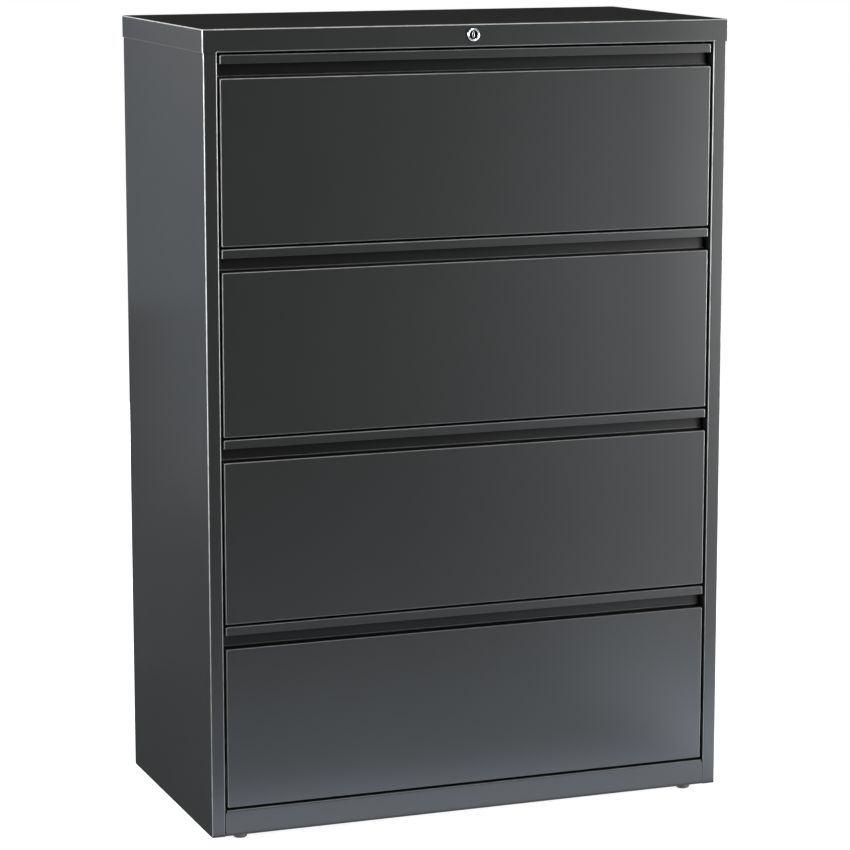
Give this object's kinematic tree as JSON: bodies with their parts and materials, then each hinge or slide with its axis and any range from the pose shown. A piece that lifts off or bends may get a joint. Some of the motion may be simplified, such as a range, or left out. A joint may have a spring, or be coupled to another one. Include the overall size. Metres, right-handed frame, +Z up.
{
  "type": "lateral filing cabinet",
  "caption": "Tall lateral filing cabinet of folded sheet steel with wide drawers on telescopic slides, full-width finger pulls, a lock in the top skirt and levelling glides.",
  "frame": {"origin": "on the floor, under the middle of the cabinet's box", "axes": "+Z up, +X to the right seen from the front, the drawers open towards -Y"},
  "size_m": [0.9184, 0.479, 1.3335],
  "materials": {
    "powder_coat": "charcoal powder coat, fine texture, semi-gloss",
    "zinc": "bright zinc plate",
    "chrome": "polished chrome",
    "cast_iron": "raw casting",
    "glide_plastic": "moulded dark plastic"
  },
  "bodies": {
    "case": {"side_panel_left": "powder_coat", "side_panel_right": "powder_coat", "back_panel": "powder_coat", "top_panel": "powder_coat", "base_rail": "powder_coat", "base_pan": "powder_coat", "counterweight": "cast_iron", "upright_front_left": "zinc", "upright_front_right": "zinc", "upright_rear_left": "zinc", "upright_rear_right": "zinc", "lock_housing": "chrome", "lock_nut": "zinc", "drawer_1_slide_outer_left": "zinc", "drawer_1_slide_outer_right": "zinc", "drawer_2_slide_outer_left": "zinc", "drawer_2_slide_outer_right": "zinc", "drawer_3_slide_outer_left": "zinc", "drawer_3_slide_outer_right": "zinc", "drawer_4_slide_outer_left": "zinc", "drawer_4_slide_outer_right": "zinc"},
    "drawer_1": {"drawer_1_front": "powder_coat", "drawer_1_tray": "powder_coat", "drawer_1_hanging_frame": "zinc", "drawer_1_slide_inner_left": "zinc", "drawer_1_slide_inner_right": "zinc"},
    "drawer_1_slide_middles": {"drawer_1_slide_middle_left": "zinc", "drawer_1_slide_middle_right": "zinc"},
    "drawer_2": {"drawer_2_front": "powder_coat", "drawer_2_tray": "powder_coat", "drawer_2_hanging_frame": "zinc", "drawer_2_slide_inner_left": "zinc", "drawer_2_slide_inner_right": "zinc"},
    "drawer_2_slide_middles": {"drawer_2_slide_middle_left": "zinc", "drawer_2_slide_middle_right": "zinc"},
    "drawer_3": {"drawer_3_front": "powder_coat", "drawer_3_tray": "powder_coat", "drawer_3_hanging_frame": "zinc", "drawer_3_slide_inner_left": "zinc", "drawer_3_slide_inner_right": "zinc"},
    "drawer_3_slide_middles": {"drawer_3_slide_middle_left": "zinc", "drawer_3_slide_middle_right": "zinc"},
    "drawer_4": {"drawer_4_front": "powder_coat", "drawer_4_tray": "powder_coat", "drawer_4_hanging_frame": "zinc", "drawer_4_slide_inner_left": "zinc", "drawer_4_slide_inner_right": "zinc"},
    "drawer_4_slide_middles": {"drawer_4_slide_middle_left": "zinc", "drawer_4_slide_middle_right": "zinc"},
    "lock_plug": {"lock_plug": "chrome", "lock_cam": "zinc"},
    "lock_link": {"lock_link": "zinc"},
    "lock_crank": {"lock_crank": "zinc"},
    "lock_bar": {"lock_bar": "zinc"},
    "interlock_bar": {"interlock_bar": "zinc"},
    "glide_front_left": {"glide_front_left": "glide_plastic"},
    "glide_rear_left": {"glide_rear_left": "glide_plastic"},
    "glide_front_right": {"glide_front_right": "glide_plastic"},
    "glide_rear_right": {"glide_rear_right": "glide_plastic"}
  },
  "joints": [
    {"name": "drawer_1_pull", "type": "slide", "parent": "case", "child": "drawer_1", "axis": [0, -1, 0], "range_m": [0, 0.395]},
    {"name": "drawer_1_middles_run", "type": "slide", "parent": "case", "child": "drawer_1_slide_middles", "axis": [0, -1, 0], "range_m": [0, 0.198]},
    {"name": "drawer_2_pull", "type": "slide", "parent": "case", "child": "drawer_2", "axis": [0, -1, 0], "range_m": [0, 0.395]},
    {"name": "drawer_2_middles_run", "type": "slide", "parent": "case", "child": "drawer_2_slide_middles", "axis": [0, -1, 0], "range_m": [0, 0.198]},
    {"name": "drawer_3_pull", "type": "slide", "parent": "case", "child": "drawer_3", "axis": [0, -1, 0], "range_m": [0, 0.395]},
    {"name": "drawer_3_middles_run", "type": "slide", "parent": "case", "child": "drawer_3_slide_middles", "axis": [0, -1, 0], "range_m": [0, 0.198]},
    {"name": "drawer_4_pull", "type": "slide", "parent": "case", "child": "drawer_4", "axis": [0, -1, 0], "range_m": [0, 0.395]},
    {"name": "drawer_4_middles_run", "type": "slide", "parent": "case", "child": "drawer_4_slide_middles", "axis": [0, -1, 0], "range_m": [0, 0.198]},
    {"name": "lock_plug_turn", "type": "hinge", "parent": "case", "child": "lock_plug", "pos_m": [0, -0.23355, 1.3165], "axis": [0, 1, 0], "range_deg": [0, 90]},
    {"name": "lock_link_run", "type": "slide", "parent": "case", "child": "lock_link", "axis": [1, 0, 0], "range_m": [0, 0.00961]},
    {"name": "lock_crank_swing", "type": "hinge", "parent": "case", "child": "lock_crank", "pos_m": [0.4422, -0.1975, 1.30872], "axis": [0, 1, 0], "range_deg": [0, 40.2]},
    {"name": "lock_bar_lift", "type": "slide", "parent": "case", "child": "lock_bar", "axis": [0, 0, 1], "range_m": [0, 0.0096]},
    {"name": "interlock_bar_lift", "type": "slide", "parent": "case", "child": "interlock_bar", "axis": [0, 0, 1], "range_m": [0, 0.0096]},
    {"name": "glide_front_left_screw", "type": "slide", "parent": "case", "child": "glide_front_left", "axis": [0, 0, -1], "range_m": [0, 0.015]},
    {"name": "glide_rear_left_screw", "type": "slide", "parent": "case", "child": "glide_rear_left", "axis": [0, 0, -1], "range_m": [0, 0.015]},
    {"name": "glide_front_right_screw", "type": "slide", "parent": "case", "child": "glide_front_right", "axis": [0, 0, -1], "range_m": [0, 0.015]},
    {"name": "glide_rear_right_screw", "type": "slide", "parent": "case", "child": "glide_rear_right", "axis": [0, 0, -1], "range_m": [0, 0.015]}
  ],
  "couplings": [
    {"joint": "drawer_1_middles_run", "follows": "drawer_1_pull", "ratio": 0.5},
    {"joint": "drawer_2_middles_run", "follows": "drawer_2_pull", "ratio": 0.5},
    {"joint": "drawer_3_middles_run", "follows": "drawer_3_pull", "ratio": 0.5},
    {"joint": "drawer_4_middles_run", "follows": "drawer_4_pull", "ratio": 0.5},
    {"joint": "lock_link_run", "follows": "lock_bar_lift", "ratio": 1},
    {"joint": "lock_crank_swing", "follows": "lock_bar_lift", "rad_per_m": 72.91},
    {"joint": "lock_plug_turn", "follows": "lock_bar_lift", "rad_per_m": 163.62}
  ]
}
